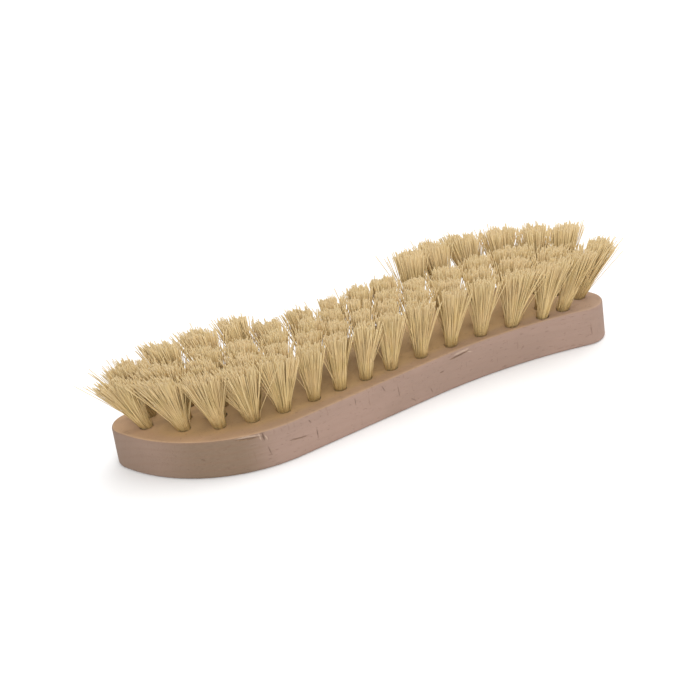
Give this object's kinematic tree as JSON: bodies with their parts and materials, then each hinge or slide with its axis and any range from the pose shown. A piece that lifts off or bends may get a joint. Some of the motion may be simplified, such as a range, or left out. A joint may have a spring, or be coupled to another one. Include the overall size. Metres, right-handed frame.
{
  "type": "scrub brush",
  "caption": "Hand scrub brush: an S-shaped wooden block with fanned tufts of stiff plant fibre, stapled into angled blind holes; rests on its flat back.",
  "frame": {"origin": "centre of the block's flat back, which is the face the brush rests on with its bristles up", "axes": "+X along the brush, from the lobe nearest the viewer on the left to the other end; +Y across it; +Z from the flat back to the bristle tips"},
  "size_m": [0.2343, 0.0813, 0.043],
  "materials": {
    "beech": "raw sanded beech, fine flecks, no varnish",
    "fibre": "stiff straw-coloured plant fibre, cut tips paler",
    "wire": "bare drawn steel wire"
  },
  "bodies": {
    "root": {"wooden_block": "beech", "tufts_01": "fibre", "tufts_02": "fibre", "tufts_03": "fibre", "tufts_04": "fibre", "tufts_05": "fibre", "tufts_06": "fibre", "tufts_07": "fibre", "tufts_08": "fibre", "tufts_09": "fibre", "tufts_10": "fibre", "tufts_11": "fibre", "tufts_12": "fibre", "tufts_13": "fibre", "tufts_14": "fibre", "tufts_15": "fibre", "tufts_16": "fibre", "staples_01": "wire", "staples_02": "wire", "staples_03": "wire", "staples_04": "wire", "staples_05": "wire", "staples_06": "wire", "staples_07": "wire", "staples_08": "wire", "staples_09": "wire", "staples_10": "wire", "staples_11": "wire", "staples_12": "wire", "staples_13": "wire", "staples_14": "wire", "staples_15": "wire", "staples_16": "wire"}
  },
  "joints": []
}
